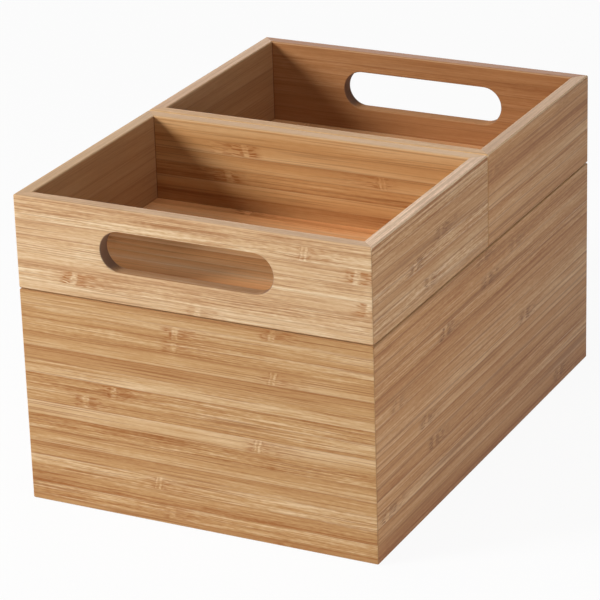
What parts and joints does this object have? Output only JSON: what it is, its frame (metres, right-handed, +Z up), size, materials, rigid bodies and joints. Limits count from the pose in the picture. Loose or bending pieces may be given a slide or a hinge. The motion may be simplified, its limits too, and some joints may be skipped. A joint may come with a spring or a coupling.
{
  "type": "bamboo storage box set",
  "caption": "Open bamboo storage box with mitred walls; shallow lift-off trays with round-ended hand slots stand side by side on its rim.",
  "frame": {"origin": "middle of the footprint, on the surface that the set stands on", "axes": "+X to the right seen from the front tray's hand slot, +Y from front to back along the set's length, +Z up"},
  "size_m": [0.165, 0.234, 0.14],
  "materials": {
    "bamboo_walls": "clear satin lacquer on laminated bamboo",
    "bamboo_bases": "clear satin lacquer on laminated bamboo"
  },
  "bodies": {
    "lower_box": {"lower_front_wall": "bamboo_walls", "lower_back_wall": "bamboo_walls", "lower_left_wall": "bamboo_walls", "lower_right_wall": "bamboo_walls", "lower_base": "bamboo_bases"},
    "front_tray": {"front_tray_handle_wall": "bamboo_walls", "front_tray_inner_wall": "bamboo_walls", "front_tray_left_wall": "bamboo_walls", "front_tray_right_wall": "bamboo_walls", "front_tray_base": "bamboo_bases"},
    "back_tray": {"back_tray_handle_wall": "bamboo_walls", "back_tray_inner_wall": "bamboo_walls", "back_tray_left_wall": "bamboo_walls", "back_tray_right_wall": "bamboo_walls", "back_tray_base": "bamboo_bases"}
  },
  "joints": [
    {"name": "front_tray_lift", "type": "slide", "parent": "lower_box", "child": "front_tray", "axis": [0, 0, 1], "range_m": [0, 0.06]},
    {"name": "back_tray_lift", "type": "slide", "parent": "lower_box", "child": "back_tray", "axis": [0, 0, 1], "range_m": [0, 0.06]}
  ]
}
